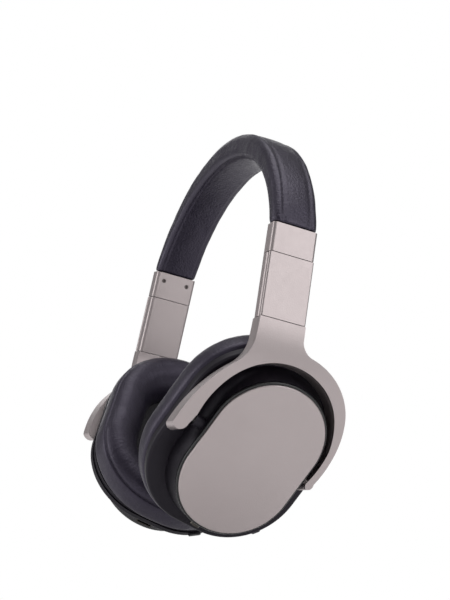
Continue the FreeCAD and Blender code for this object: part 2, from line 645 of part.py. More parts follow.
def make_controls(side):
    """The keys and sockets of one cup; returns the solids that cut their openings."""
    half_button, socket_end = cell("button_length") * 0.5, size("socket_end")
    socket_level = cell("socket_level")
    if side == RIGHT:
        cutters = [cup_key(side, label, degrees, half_button) for label, degrees in
                   (("button_volume_up", 20), ("button_play", 38), ("button_volume_down", 56))]
        port_length, port_wall = cell("port_length"), cell("port_wall")
        inner_end = length(socket_end) - port_length
        port_oval = (cell("port_wide"), cell("port_high"), cell("port_corner"), 0.0, socket_level)
        port = new_body("ChargePort")
        outline = new_sketch(port, "ChargePortOutline", role="XZ_Plane", level=inner_end)
        draw_oval(outline, *port_oval)
        add_pad(port, outline, port_length)
        mouth = new_sketch(port, "ChargePortMouth", role="XZ_Plane", level=socket_end)
        draw_oval(mouth, port_oval[0] - port_wall, port_oval[1] - port_wall, cell("port_rim_corner"),
                  0.0, socket_level)
        add_pocket(port, mouth, cell("port_depth"), upward=False)
        keep(port, "charging_port", cup_frame(side))
        hole = new_body("ChargeHole")
        outline = new_sketch(hole, "ChargeHoleOutline", role="XZ_Plane", level=inner_end)
        draw_oval(outline, *port_oval)
        add_pad(hole, outline, port_length + CUT_THROUGH)
        hole.Placement = cup_frame(side)
        return cutters + [hole]
    cutters = [cup_key(side, "power_switch", 38, half_button * 0.6, travel=size("switch_travel"))]
    length_now = cell("jack_length")
    frame = shifted(cup_frame(side), y=-socket_end, z=size("socket_level"),
                    axis=Vector(1, 0, 0), angle=-90)
    barrel = new_part("Cylinder", "JackBarrel", Radius=cell("jack_body"), Height=length_now + JACK_END)
    bore = new_part("Cylinder", "JackBore", Radius=cell("jack_radius"), Height=length_now)
    keep(combine("Cut", "JackCut", barrel, bore), "jack_socket", frame)
    hole = new_part("Cylinder", "JackHole", Radius=cell("jack_body"),
                    Height=length_now + JACK_END + CUT_THROUGH)
    hole.Placement = shifted(frame, z=-CUT_THROUGH)
    return cutters + [hole]


def make_driver(side, frame):
    """The driver in its baffle: basket, magnet and dome, with a cloth grille in front."""
    side_name, level = SIDE_NAMES[side], cell("base_level")
    radius, magnet_radius = cell("driver_radius"), cell("magnet_radius")
    baffle = new_body("Baffle" + side_name)
    outline = new_sketch(baffle, "BaffleOutline" + side_name, level=level + 0.1)
    clear = cell("wall") + 0.1
    draw_oval(outline, cell("base_wide") - clear, cell("base_long") - clear, cell("base_corner") - clear)
    add_pad(baffle, outline, cell("baffle_thickness"))
    opening = new_sketch(baffle, "BaffleOpening" + side_name, level=level + 0.1)
    draw_circle(opening, radius + 0.1)
    add_pocket(baffle, opening, cell("baffle_thickness"))
    keep(baffle, "baffle_" + side_name, frame)

    start = size("base_level") + size("driver_level")
    drum = new_part("Cylinder", "Drum" + side_name, Radius=radius, Height=cell("driver_depth"))
    room = new_part("Cylinder", "DrumRoom" + side_name, Radius=radius - cell("driver_wall"),
                    Height=cell("driver_room"))
    seat = new_part("Cylinder", "MagnetSeat" + side_name, Radius=magnet_radius,
                    Height=cell("magnet_seat"))
    inside = combine("MultiFuse", "DrumInside" + side_name, room, seat)
    keep(combine("Cut", "Basket" + side_name, drum, inside), "driver_basket_" + side_name,
         shifted(frame, z=start))
    magnet = new_part("Cylinder", "Magnet" + side_name, Radius=magnet_radius,
                      Height=cell("magnet_height"))
    keep(magnet, "driver_magnet_" + side_name, shifted(frame, z=start + size("magnet_level")))
    ball_radius = cell("dome_radius") * 2
    dome = new_part("Sphere", "DomeBall" + side_name, Radius=ball_radius)
    hollow = new_part("Sphere", "DomeHollow" + side_name, Radius=ball_radius - cell("dome_thickness"))
    cap = new_part("Cylinder", "DomeCap" + side_name, Radius=cell("dome_radius"), Height=ROOM)
    shell = combine("Cut", "DomeShell" + side_name, dome, hollow)
    keep(combine("Common", "Dome" + side_name, shell, cap), "diaphragm_" + side_name,
         shifted(frame, z=start + size("dome_level") - ball_radius.value))


def make_cup(side):
    side_name = SIDE_NAMES[side]
    frame = cup_frame(side)
    housing = make_housing(side)
    housing.Placement = frame
    cutters = combine("MultiFuse", "HousingCutters" + side_name, *make_controls(side))
    keep(combine("Cut", "HousingCut" + side_name, housing, cutters), "cup_housing_" + side_name)

    plate = [cell("plate_wide"), cell("plate_long"), cell("plate_corner")]
    rim = oval_plate("Rim" + side_name, *[amount + cell("rim_width") for amount in plate],
                     cell("rim_level"), cell("rim_height"), edge_round=cell("rim_round"))
    seat = new_sketch(rim, "PlateSeat" + side_name, level=cell("plate_level"))
    draw_oval(seat, *[amount + 0.12 for amount in plate])
    add_pocket(rim, seat, 3)
    keep(rim, "plate_rim_" + side_name, frame)
    cover = oval_plate("Plate" + side_name, *plate, cell("plate_level"), cell("plate_thickness"),
                       edge_round=cell("plate_round"))
    keep(cover, "cup_plate_" + side_name, frame)
    make_driver(side, frame)

    base = [cell("base_wide") - 0.6, cell("base_long") - 0.6, cell("base_corner") - 0.6]
    hole = [cell("pad_hole_wide"), cell("pad_hole_long"), cell("pad_hole_corner")]
    ring_level = cell("base_level") - cell("pad_ring_height") - 0.1
    ring = oval_plate("PadRing" + side_name, *base, ring_level, cell("pad_ring_height"),
                      hole=[amount + cell("ring_lap") for amount in hole])
    keep(ring, "pad_ring_" + side_name, frame)
    grille = oval_plate("Grille" + side_name, *[amount + cell("grille_lap") for amount in hole],
                        ring_level + 0.2, cell("grille_thickness"))
    keep(grille, "driver_grille_" + side_name, frame)

    pad = oval_plate("EarPad" + side_name, cell("pad_wide"), cell("pad_long"), cell("pad_corner"),
                     cell("pad_level"), cell("pad_height"), edge_round=cell("pad_back_round"))
    bottom = size("pad_level")
    round_edges(pad, pad.Tip, cell("pad_round"), lambda point: abs(point.z - bottom) < 1e-3)
    opening = new_sketch(pad, "EarOpening" + side_name, level=cell("pad_level"))
    draw_oval(opening, *hole)
    add_pocket(pad, opening, cell("pad_height"))
    keep(pad, "ear_pad_" + side_name, frame)

    board = oval_plate("Board" + side_name, cell("board_wide"), cell("board_long"),
                       cell("board_corner"), cell("board_level"), cell("board_thickness"))
    keep(board, "circuit_board_" + side_name, frame)
    if side == RIGHT:
        battery = new_body("Battery")
        outline = new_sketch(battery, "BatteryOutline", level=cell("battery_level"))
        draw_oval(outline, cell("battery_wide"), cell("battery_long"), cell("battery_corner"),
                  0.0, -cell("battery_down"))
        add_pad(battery, outline, cell("battery_height"))
        keep(battery, "battery", frame)


# ---------------------------------------------------------------- build, check and write

make_headband()
for side in (LEFT, RIGHT):
    make_end_cap(side)
    make_cap_screws(side)
    make_slider(side)
    make_yoke(side)
    make_cup(side)
doc.recompute()

failed = [item.Label for item in doc.Objects if {"Invalid", "Error"} & set(item.State)]
for item in NODES:
    if item.Shape.isNull() or not item.Shape.isValid() or not item.Shape.Solids:
        failed.append(item.Label)
if failed:
    raise SystemExit("failed: " + ", ".join(failed))

os.makedirs("parts", exist_ok=True)
for item in NODES:
    item.Shape.exportStep(f"parts/{item.Label}.step")
print(len(NODES), "parts written")
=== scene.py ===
"""Looks of the over-ear headphones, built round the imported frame. Lengths are in metres."""

import math

import bmesh
import bpy
from mathutils import Matrix, Vector, noise


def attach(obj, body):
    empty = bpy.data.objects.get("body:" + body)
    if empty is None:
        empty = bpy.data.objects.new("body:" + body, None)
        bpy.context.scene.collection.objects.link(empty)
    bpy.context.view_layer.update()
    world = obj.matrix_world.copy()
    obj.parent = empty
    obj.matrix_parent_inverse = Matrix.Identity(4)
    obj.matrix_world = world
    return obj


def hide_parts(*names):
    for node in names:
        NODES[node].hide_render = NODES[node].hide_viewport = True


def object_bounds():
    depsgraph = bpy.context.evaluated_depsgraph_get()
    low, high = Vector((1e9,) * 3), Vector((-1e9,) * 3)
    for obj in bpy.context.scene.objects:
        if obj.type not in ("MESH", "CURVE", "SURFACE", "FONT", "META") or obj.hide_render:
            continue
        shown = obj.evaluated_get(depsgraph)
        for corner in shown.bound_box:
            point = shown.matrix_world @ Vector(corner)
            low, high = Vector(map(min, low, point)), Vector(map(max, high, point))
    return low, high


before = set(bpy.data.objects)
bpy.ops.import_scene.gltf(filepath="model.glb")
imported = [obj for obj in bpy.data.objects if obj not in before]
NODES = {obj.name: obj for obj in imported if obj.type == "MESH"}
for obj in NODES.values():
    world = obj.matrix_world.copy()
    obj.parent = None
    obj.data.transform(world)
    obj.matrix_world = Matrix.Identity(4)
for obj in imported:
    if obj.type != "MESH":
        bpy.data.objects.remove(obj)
CAD_LOW, CAD_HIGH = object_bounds()
MM = 0.001
SIDES = ("left", "right")

# ---------------------------------------------------------------- places, in millimetres

# A cup leans in by CUP_LEAN below and is turned by CUP_TURN in its own plane.
CUP_LEAN = math.radians(30)
CUP_TURN = math.radians(15)
CUP_CENTRE = Vector((53, 6.4, -148.3))
OUTWARD = Vector((math.cos(CUP_LEAN), 0, -math.sin(CUP_LEAN)))
UPRIGHT = Vector((math.sin(CUP_LEAN), 0, math.cos(CUP_LEAN)))
BACK = Vector((0, 1, 0))
LONG = UPRIGHT * math.cos(CUP_TURN) + BACK * math.sin(CUP_TURN)
WIDE = BACK * math.cos(CUP_TURN) - UPRIGHT * math.sin(CUP_TURN)

# The headband is an arch between two arcs centred on the middle plane.
OUTER_ARC = {"radius": 81.6, "centre": -69.6, "end": math.radians(74.1)}
INNER_ARC = {"radius": 76.19, "centre": -76.19, "end": math.radians(68.3)}
BAND_HALF_WIDTH = 11.3


def cup_point(side, outward, long, wide):
    """A place in a cup's own axes, in metres in the row frame."""
    point = CUP_CENTRE + OUTWARD * outward + LONG * long + WIDE * wide
    if side == "right":
        point.x = -point.x
    return point * MM


# ---------------------------------------------------------------- meshes


def mesh_object(name, points, faces):
    mesh = bpy.data.meshes.new(name)
    mesh.from_pydata([tuple(p) for p in points], [], faces)
    mesh.update()
    made = bpy.data.objects.new(name, mesh)
    bpy.context.scene.collection.objects.link(made)
    for face in mesh.polygons:
        face.use_smooth = True
    return made


def face_outwards(made):
    """Turns every face so that its normal points out of the closed mesh."""
    work = bmesh.new()
    work.from_mesh(made.data)
    bmesh.ops.recalc_face_normals(work, faces=work.faces)
    work.to_mesh(made.data)
    work.free()


def loft(name, rings, closed_path, spacing=(1.0, 1.0)):
    """Skins rings of points. The map named loft holds metres along the path and round the ring."""
    count, size = len(rings), len(rings[0])
    points = [p for ring in rings for p in ring]
    faces, corners = [], []
    for i in range(count if closed_path else count - 1):
        for j in range(size):
            k, m = (i + 1) % count, (j + 1) % size
            faces.append((i * size + j, k * size + j, k * size + m, i * size + m))
            corners.append(((i, j), (i + 1, j), (i + 1, j + 1), (i, j + 1)))
    if not closed_path:
        faces.append(tuple(range(size - 1, -1, -1)))
        corners.append(tuple((0, j) for j in range(size - 1, -1, -1)))
        faces.append(tuple((count - 1) * size + j for j in range(size)))
        corners.append(tuple((count - 1, j) for j in range(size)))
    made = mesh_object(name, points, faces)
    layer = made.data.uv_layers.new(name="loft")
    flat = [c for face in corners for c in face]
    for loop, (i, j) in enumerate(flat):
        layer.data[loop].uv = (i * spacing[0], j * spacing[1])
    face_outwards(made)
    return made


def oval(half_wide, half_long, corner, arc_steps, side_steps):
    """A rounded rectangle as (wide, long) points, the same number of steps for any size."""
    centre_wide, centre_long = half_wide - corner, half_long - corner
    points = []
    quarters = (
        (1, 1, 0.0),
        (-1, 1, 0.5 * math.pi),
        (-1, -1, math.pi),
        (1, -1, 1.5 * math.pi),
    )
    for index, (sign_wide, sign_long, start) in enumerate(quarters):
        for step in range(arc_steps):
            angle = start + 0.5 * math.pi * step / arc_steps
            points.append(
                (
                    sign_wide * centre_wide + corner * math.cos(angle),
                    sign_long * centre_long + corner * math.sin(angle),
                )
            )
        end = start + 0.5 * math.pi
        here = (
            sign_wide * centre_wide + corner * math.cos(end),
            sign_long * centre_long + corner * math.sin(end),
        )
        next_wide, next_long, _ = quarters[(index + 1) % 4]
        there = (
            next_wide * centre_wide + corner * math.cos(end),
            next_long * centre_long + corner * math.sin(end),
        )
        for step in range(side_steps):
            share = step / side_steps
            points.append(
                (
                    here[0] + (there[0] - here[0]) * share,
                    here[1] + (there[1] - here[1]) * share,
                )
            )
    return points


# ---------------------------------------------------------------- materials


def tone(red, green, blue):
    """A colour given in 0 to 255 display values, as linear light."""

    def linear(value):
        share = value / 255
        return share / 12.92 if share <= 0.04045 else ((share + 0.055) / 1.055) ** 2.4

    return (linear(red), linear(green), linear(blue), 1.0)


def add_node(tree, kind, **settings):
    made = tree.nodes.new(kind)
    for key, value in settings.items():
        setattr(made, key, value)
    return made


def scaled_place(tree, size, source):
    """Coordinates in steps of size metres, from the mesh's own frame or from its loft map."""
    place = add_node(tree, "ShaderNodeMapping")
    sizes = size if isinstance(size, tuple) else (size, size, size)
    for axis in range(3):
        place.inputs["Scale"].default_value[axis] = 1 / sizes[axis]
    if source == "loft":
        origin = add_node(tree, "ShaderNodeUVMap", uv_map="loft")
        tree.links.new(origin.outputs["UV"], place.inputs["Vector"])
    else:
        origin = add_node(tree, "ShaderNodeTexCoord")
        tree.links.new(origin.outputs["Object"], place.inputs["Vector"])
    return place.outputs["Vector"]


NOISE_DETAIL = 4.0
PEBBLE_SMOOTHNESS = 0.6
NOISE_LOW, NOISE_HIGH = 0.3, 0.7


def pattern(tree, kind, size, source="object"):
    """A height or tone pattern with features about size metres across."""
    place = scaled_place(tree, size, source)
    if kind == "noise":
        texture = add_node(tree, "ShaderNodeTexNoise")
        texture.inputs["Scale"].default_value = 1.0
        texture.inputs["Detail"].default_value = NOISE_DETAIL
        tree.links.new(place, texture.inputs["Vector"])
        return texture.outputs["Fac"]
    if kind == "pebbles":
        texture = add_node(tree, "ShaderNodeTexVoronoi", feature="SMOOTH_F1")
        texture.inputs["Scale"].default_value = 1.0
        texture.inputs["Smoothness"].default_value = PEBBLE_SMOOTHNESS
        tree.links.new(place, texture.inputs["Vector"])
        upside = add_node(tree, "ShaderNodeMath", operation="SUBTRACT")
        upside.inputs[0].default_value = 1.0
        tree.links.new(texture.outputs["Distance"], upside.inputs[1])
        return upside.outputs["Value"]
    # What is left is a weave: two sets of waves that cross.
    waves = []
    for axis in ("X", "Y"):
        wave = add_node(tree, "ShaderNodeTexWave", bands_direction=axis)
        wave.inputs["Scale"].default_value = 1.0
        tree.links.new(place, wave.inputs["Vector"])
        waves.append(wave.outputs["Fac"])
    cross = add_node(tree, "ShaderNodeMath", operation="MULTIPLY")
    tree.links.new(waves[0], cross.inputs[0])
    tree.links.new(waves[1], cross.inputs[1])
    return cross.outputs["Value"]


def surface(name, colours, tone_size, roughness, rough_size, bumps, **fixed):
    """A material whose tone and roughness drift between two values, with bumps of real heights."""
    material = bpy.data.materials.new(name)
    material.use_nodes = True
    tree = material.node_tree
    shader = tree.nodes["Principled BSDF"]
    for socket, value in fixed.items():
        shader.inputs[socket.replace("_", " ")].default_value = value

    mix = add_node(tree, "ShaderNodeMix", data_type="RGBA")
    # Inputs 6 and 7 and output 2 are the colour sockets of this node.
    mix.inputs[6].default_value = colours[0]
    mix.inputs[7].default_value = colours[1]
    tree.links.new(pattern(tree, "noise", tone_size), mix.inputs[0])
    tree.links.new(mix.outputs[2], shader.inputs["Base Color"])

    gloss = add_node(tree, "ShaderNodeMapRange")
    gloss.inputs["From Min"].default_value = NOISE_LOW
    gloss.inputs["From Max"].default_value = NOISE_HIGH
    gloss.inputs["To Min"].default_value = roughness[0]
    gloss.inputs["To Max"].default_value = roughness[1]
    tree.links.new(pattern(tree, "noise", rough_size), gloss.inputs["Value"])
    tree.links.new(gloss.outputs["Result"], shader.inputs["Roughness"])

    normal = None
    for kind, size, height, source in bumps:
        bump = add_node(tree, "ShaderNodeBump")
        bump.inputs["Distance"].default_value = height
        tree.links.new(pattern(tree, kind, size, source), bump.inputs["Height"])
        if normal is not None:
            tree.links.new(normal, bump.inputs["Normal"])
        normal = bump.outputs["Normal"]
    if normal is not None:
        tree.links.new(normal, shader.inputs["Normal"])
    return material


MATERIALS = {
    "band_leather": surface(
        "band_leather",
        (tone(15, 12, 23), tone(25, 21, 36)),
        9 * MM,
        (0.34, 0.44),
        4 * MM,
        [
            ("pebbles", 0.95 * MM, 0.13 * MM, "object"),
            ("noise", 2.4 * MM, 0.10 * MM, "object"),
        ],
        Specular_IOR_Level=0.8,
        Specular_Tint=(0.86, 0.78, 1.0, 1.0),
    ),
    "pad_leather": surface(
        "pad_leather",
        (tone(16, 13, 24), tone(28, 23, 38)),
        11 * MM,
        (0.38, 0.50),
        5 * MM,
        [
            ("noise", (1.3 * MM, 5 * MM, 1.0), 0.22 * MM, "loft"),
            ("pebbles", 0.75 * MM, 0.07 * MM, "object"),
        ],
        Specular_IOR_Level=0.75,
        Specular_Tint=(0.86, 0.78, 1.0, 1.0),
    ),
    "blasted_metal": surface(
        "blasted_metal",
        (tone(184, 174, 174), tone(191, 181, 181)),
        20 * MM,
        (0.39, 0.42),
        3 * MM,
        [("noise", 0.6 * MM, 0.05 * MM, "object")],
        Metallic=0.94,
    ),
    "polished_steel": surface(
        "polished_steel",
        (tone(200, 198, 196), tone(216, 214, 212)),
        3 * MM,
        (0.16, 0.28),
        2 * MM,
        [("noise", 0.5 * MM, 0.008 * MM, "object")],
        Metallic=1.0,
    ),
    "dark_steel": surface(
        "dark_steel",
        (tone(92, 86, 86), tone(112, 105, 104)),
        2 * MM,
        (0.25, 0.36),
        1 * MM,
        [("noise", 0.3 * MM, 0.01 * MM, "object")],
        Metallic=1.0,
    ),
    "housing_black": surface(
        "housing_black",
        (tone(12, 9, 15), tone(20, 17, 24)),
        16 * MM,
        (0.40, 0.48),
        5 * MM,
        [("noise", 0.4 * MM, 0.018 * MM, "object")],
        Specular_IOR_Level=0.36,
        Specular_Tint=(0.92, 0.86, 1.0, 1.0),
    ),
    "gloss_black": surface(
        "gloss_black",
        (tone(12, 12, 14), tone(22, 21, 25)),
        12 * MM,
        (0.16, 0.26),
        6 * MM,
        [("noise", 1.2 * MM, 0.01 * MM, "object")],
        Coat_Weight=0.3,
    ),
    "button_black": surface(
        "button_black",
        (tone(30, 29, 33), tone(40, 38, 43)),
        5 * MM,
        (0.42, 0.55),
        2 * MM,
        [("noise", 0.3 * MM, 0.02 * MM, "object")],
    ),
    "inner_grey": surface(
        "inner_grey",
        (tone(44, 43, 47), tone(56, 55, 60)),
        12 * MM,
        (0.45, 0.6),
        4 * MM,
        [("noise", 0.5 * MM, 0.03 * MM, "object")],
    ),
    "grille_mesh": surface(
        "grille_mesh",
        (tone(22, 21, 24), tone(34, 33, 37)),
        6 * MM,
        (0.5, 0.7),
        3 * MM,
        [("pebbles", 0.7 * MM, 0.12 * MM, "object")],
    ),
    "speaker_cloth": surface(
        "speaker_cloth",
        (tone(24, 23, 26), tone(40, 38, 43)),
        2 * MM,
        (0.75, 0.9),
        2 * MM,
        [("weave", 3.2 * MM, 0.09 * MM, "loft")],
        Sheen_Weight=0.3,
    ),
    "magnet": surface(
        "magnet",
        (tone(96, 94, 92), tone(130, 127, 124)),
        4 * MM,
        (0.3, 0.45),
        2 * MM,
        [("noise", 0.6 * MM, 0.02 * MM, "object")],
        Metallic=0.9,
    ),
    "diaphragm": surface(
        "diaphragm",
        (tone(120, 118, 112), tone(150, 147, 140)),
        5 * MM,
        (0.35, 0.5),
        2 * MM,
        [("noise", 1.5 * MM, 0.05 * MM, "object")],
    ),
    "board_green": surface(
        "board_green",
        (tone(20, 70, 42), tone(30, 92, 56)),
        4 * MM,
        (0.3, 0.42),
        2 * MM,
        [("weave", 6 * MM, 0.03 * MM, "object")],
    ),
    "cell_wrap": surface(
        "cell_wrap",
        (tone(60, 84, 122), tone(74, 100, 140)),
        5 * MM,
        (0.3, 0.42),
        3 * MM,
        [("noise", 3 * MM, 0.06 * MM, "object")],
    ),
    "socket_metal": surface(
        "socket_metal",
        (tone(70, 67, 64), tone(88, 84, 80)),
        2 * MM,
        (0.22, 0.34),
        1 * MM,
        [("noise", 0.4 * MM, 0.01 * MM, "object")],
        Metallic=1.0,
    ),
}

# Record slot -> material for the CAD nodes that are shown.
SLOT_MATERIAL = {
    "leather": "band_leather",
    "foam": "inner_grey",
    "steel": "polished_steel",
    "anodised_metal": "blasted_metal",
    "pad_leather": "pad_leather",
    "grille_cloth": "grille_mesh",
    "magnet": "magnet",
    "diaphragm": "diaphragm",
    "circuit_board": "board_green",
    "battery": "cell_wrap",
    "socket_metal": "socket_metal",
    "grey_plastic": "inner_grey",
    "button_plastic": "button_black",
    "black_plastic": "housing_black",
}


def wear(made, material):
    made.data.materials.clear()
    made.data.materials.append(MATERIALS[material])


for node_name, node in NODES.items():
    wear(node, SLOT_MATERIAL[node.data.materials[0].name.split(".")[0]])
for side in SIDES:
    wear(NODES["plate_rim_" + side], "gloss_black")
    for number in ("_1", "_2"):
        wear(NODES["cap_screw_" + side + number], "dark_steel")

# ---------------------------------------------------------------- headband

BAND_STEPS = 168
BAND_CORNER = 3.6
BAND_CORNER_SHARE = 0.42
BAND_FLAT_STEPS, BAND_ARC_STEPS, BAND_SIDE_STEPS = 22, 9, 6
ROLL_GROOVE = {"place": 6.9, "width": 1.0, "depth": 0.34}
ROLL_RISE = {"place": 9.2, "width": 1.7, "height": 0.30}
SEAM_GROOVE = {"place": 8.6, "width": 0.4, "depth": 0.45}
OUTER_CROWN = 0.8
INNER_BELLY = {"depth": 0.35, "reach": 8.0}
LEATHER_END_GAP = 0.25
# Half the arch's length, and the narrowing of the leather's last rings at each end.
HALF_ARCH_LENGTH = 105
END_PINCH = (0.955, 0.985, 0.996)
BAND_MAP = (1.3 * MM, 0.6 * MM)
# Slow unevenness: two noise scales per metre, the share of the second, and the height.
BAND_LUMPS = {"coarse": 90, "fine": 210, "fine_share": 0.5, "height": 0.16 * MM}


def bell(distance, width):
    return math.exp(-((distance / width) ** 2))


def band_section(thickness, half_width):
    """The wrapped band's cross section as (across, height) points, height from the inner face."""
    corner = min(BAND_CORNER, thickness * BAND_CORNER_SHARE)
    points = []
    half_flat = half_width - corner

    def arc(centre_across, centre_height, start):
        for step in range(BAND_ARC_STEPS):
            angle = start + 0.5 * math.pi * step / BAND_ARC_STEPS
            points.append(
                (
                    centre_across + corner * math.cos(angle),
                    centre_height + corner * math.sin(angle),
                )
            )

    def line(start, end, steps):
        for step in range(steps):
            share = step / steps
            points.append(
                (
                    start[0] + (end[0] - start[0]) * share,
                    start[1] + (end[1] - start[1]) * share,
                )
            )

    arc(half_flat, thickness - corner, 0)
    line((half_flat, thickness), (-half_flat, thickness), BAND_FLAT_STEPS)
    arc(-half_flat, thickness - corner, 0.5 * math.pi)
    line((-half_width, thickness - corner), (-half_width, corner), BAND_SIDE_STEPS)
    arc(-half_flat, corner, math.pi)
    line((-half_flat, 0), (half_flat, 0), BAND_FLAT_STEPS)
    arc(half_flat, corner, 1.5 * math.pi)
    line((half_width, corner), (half_width, thickness - corner), BAND_SIDE_STEPS)

    shaped = []
    for across, height in points:
        reach = abs(across)
        if height > 0.5 * thickness:
            height += OUTER_CROWN * (1 - (reach / half_width) ** 2)
            height += ROLL_RISE["height"] * bell(
                reach - ROLL_RISE["place"], ROLL_RISE["width"]
            )
            height -= ROLL_GROOVE["depth"] * bell(
                reach - ROLL_GROOVE["place"], ROLL_GROOVE["width"]
            )
        else:
            height += SEAM_GROOVE["depth"] * bell(
                reach - SEAM_GROOVE["place"], SEAM_GROOVE["width"]
            )
            height -= INNER_BELLY["depth"] * (1 - min(1, reach / INNER_BELLY["reach"]) ** 2)
        shaped.append((across, height))
    return shaped


def arc_point(arc, share):
    angle = arc["end"] * share
    return Vector(
        (arc["radius"] * math.sin(angle), 0, arc["centre"] + arc["radius"] * math.cos(angle))
    )


def lump_at(place, lumps):
    fine = lumps["fine_share"] * noise.noise(place * lumps["fine"])
    return noise.noise(place * lumps["coarse"]) + fine


def make_headband():
    rings = []
    last = 1 - LEATHER_END_GAP / HALF_ARCH_LENGTH
    for step in range(BAND_STEPS + 1):
        share = last * (2 * step / BAND_STEPS - 1)
        inner, outer = arc_point(INNER_ARC, share), arc_point(OUTER_ARC, share)
        thickness = (outer - inner).length
        up = (outer - inner).normalized()
        from_end = min(step, BAND_STEPS - step)
        pinch = END_PINCH[from_end] if from_end < len(END_PINCH) else 1.0
        middle = (inner + outer) / 2
        ring = []
        for across, height in band_section(thickness, BAND_HALF_WIDTH):
            place = middle + up * (height - thickness / 2) * pinch
            place.y = across * pinch
            ring.append(place * MM)
        rings.append(ring)
    band = loft("headband_leather", rings, False, BAND_MAP)
    for vertex in band.data.vertices:
        vertex.co += vertex.normal * (lump_at(vertex.co, BAND_LUMPS) * BAND_LUMPS["height"])
    wear(band, "band_leather")
    smooth = band.modifiers.new("smooth", "SUBSURF")
    smooth.levels = smooth.render_levels = 1
    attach(band, "headband")
    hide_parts("headband_cover", "headband_padding", "headband_lining")


make_headband()

# ---------------------------------------------------------------- ear cushions

CUSHION_HOLE = {"half_wide": 19.6, "half_long": 28.6, "corner": 18.6}
CUSHION_EDGE = {"half_wide": 40.4, "half_long": 49.4, "corner": 37.2}
CUSHION_ARC_STEPS, CUSHION_SIDE_STEPS = 15, 3
CUSHION_MAP = (3.7 * MM, 3.4 * MM)
# The ring of the profile that the sewn seam between side and face runs along.
CUSHION_SEAM = 9
SEAM_DEPTH = 0.9
CUSHION_LUMPS = {"coarse": 120, "fine": 330, "fine_share": 0.6, "height": 0.14}
# (share from hole to edge, level): under the foot from hole to edge, then up and over the face.
CUSHION_PROFILE = [
    (0.04, -9.9),
    (0.22, -9.8),
    (0.45, -9.8),
    (0.68, -9.8),
    (0.90, -9.8),
    (0.985, -11.0),
    (1.0, -14.5),
    (0.992, -18.6),
    (0.966, -21.4),
    (0.945, -22.4),
    (0.915, -23.6),
    (0.84, -25.6),
    (0.73, -27.0),
    (0.60, -27.6),
    (0.47, -27.3),
    (0.34, -26.2),
    (0.22, -24.2),
    (0.12, -21.4),
    (0.05, -18.0),
    (0.01, -14.4),
    (0.0, -11.4),
]
PINNED_LEVEL = -11.2
SWELL_CAP = 1.6
CLOTH_FRAMES = 20
CLOTH_SETTINGS = {
    "quality": 6,
    "mass": 0.2,
    "tension_stiffness": 12,
    "compression_stiffness": 12,
    "bending_stiffness": 0.8,
    "use_pressure": True,
    "uniform_pressure_force": 4,
}


def cushion_rings(side):
    steps = {"arc_steps": CUSHION_ARC_STEPS, "side_steps": CUSHION_SIDE_STEPS}
    hole = oval(**CUSHION_HOLE, **steps)
    edge = oval(**CUSHION_EDGE, **steps)
    rings = []
    for inner, outer in zip(hole, edge):
        ring = []
        for share, level in CUSHION_PROFILE:
            wide = inner[0] + (outer[0] - inner[0]) * share
            long = inner[1] + (outer[1] - inner[1]) * share
            ring.append(cup_point(side, level, long, wide))
        rings.append(ring)
    return rings


def level_of(side, place):
    """How far a place lies outward of the cup's centre, in millimetres."""
    local = Vector(place) / MM
    if side == "right":
        local.x = -local.x
    return (local - CUP_CENTRE).dot(OUTWARD)


def swell(cushion, side):
    """Blows the cushion up as leather over foam, pinned along its foot, up to the cap."""
    before = [v.co.copy() for v in cushion.data.vertices]
    foot = cushion.vertex_groups.new(name="foot")
    held = [v.index for v in cushion.data.vertices if level_of(side, v.co) > PINNED_LEVEL]
    foot.add(held, 1.0, "REPLACE")
    cloth = cushion.modifiers.new("cloth", "CLOTH")
    settings = cloth.settings
    for key, value in CLOTH_SETTINGS.items():
        setattr(settings, key, value)
    settings.effector_weights.gravity = 0
    settings.vertex_group_mass = "foot"
    cloth.collision_settings.use_collision = False
    cloth.point_cache.frame_start = 1
    cloth.point_cache.frame_end = CLOTH_FRAMES
    scene = bpy.context.scene
    for number in range(1, CLOTH_FRAMES + 1):
        scene.frame_set(number)
    depsgraph = bpy.context.evaluated_depsgraph_get()
    blown = [v.co.copy() for v in cushion.evaluated_get(depsgraph).data.vertices]
    cushion.modifiers.remove(cloth)
    scene.frame_set(1)
    for vertex, old, new in zip(cushion.data.vertices, before, blown):
        move = new - old
        if move.length > SWELL_CAP * MM:
            move = move.normalized() * SWELL_CAP * MM
        vertex.co = old + move


def crease(cushion):
    """Sinks the sewn seam between face and side, and gives the leather slow unevenness."""
    subdivide = cushion.modifiers.new("smooth", "SUBSURF")
    subdivide.levels = subdivide.render_levels = 2
    depsgraph = bpy.context.evaluated_depsgraph_get()
    fine = bpy.data.meshes.new_from_object(cushion.evaluated_get(depsgraph))
    cushion.modifiers.remove(subdivide)
    cushion.data = fine
    for face in fine.polygons:
        face.use_smooth = True
    values = [item.value for item in fine.attributes["seam"].data]
    normals = [v.normal.copy() for v in fine.vertices]
    for vertex, share, normal in zip(fine.vertices, values, normals):
        lump = CUSHION_LUMPS["height"] * lump_at(vertex.co, CUSHION_LUMPS)
        depth = SEAM_DEPTH * max(0.0, share) ** 1.5 - lump
        vertex.co -= normal * (depth * MM)


def make_cushion(side):
    rings = cushion_rings(side)
    cushion = loft("ear_cushion_" + side, rings, True, CUSHION_MAP)
    size = len(CUSHION_PROFILE)
    seam = cushion.data.attributes.new("seam", "FLOAT", "POINT")
    marks = [1.0 if i % size == CUSHION_SEAM else 0.0 for i in range(len(rings) * size)]
    seam.data.foreach_set("value", marks)
    swell(cushion, side)
    crease(cushion)
    wear(cushion, "pad_leather")
    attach(cushion, "cup_" + side)
    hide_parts("ear_pad_" + side)


for side in SIDES:
    make_cushion(side)

# ---------------------------------------------------------------- driver cloth

CLOTH_OVAL = {"half_wide": 20.2, "half_long": 29.2, "corner": 19.4}
CLOTH_LEVEL = -9.35
CLOTH_DOME = 0.5
CLOTH_ROUNDS = 14


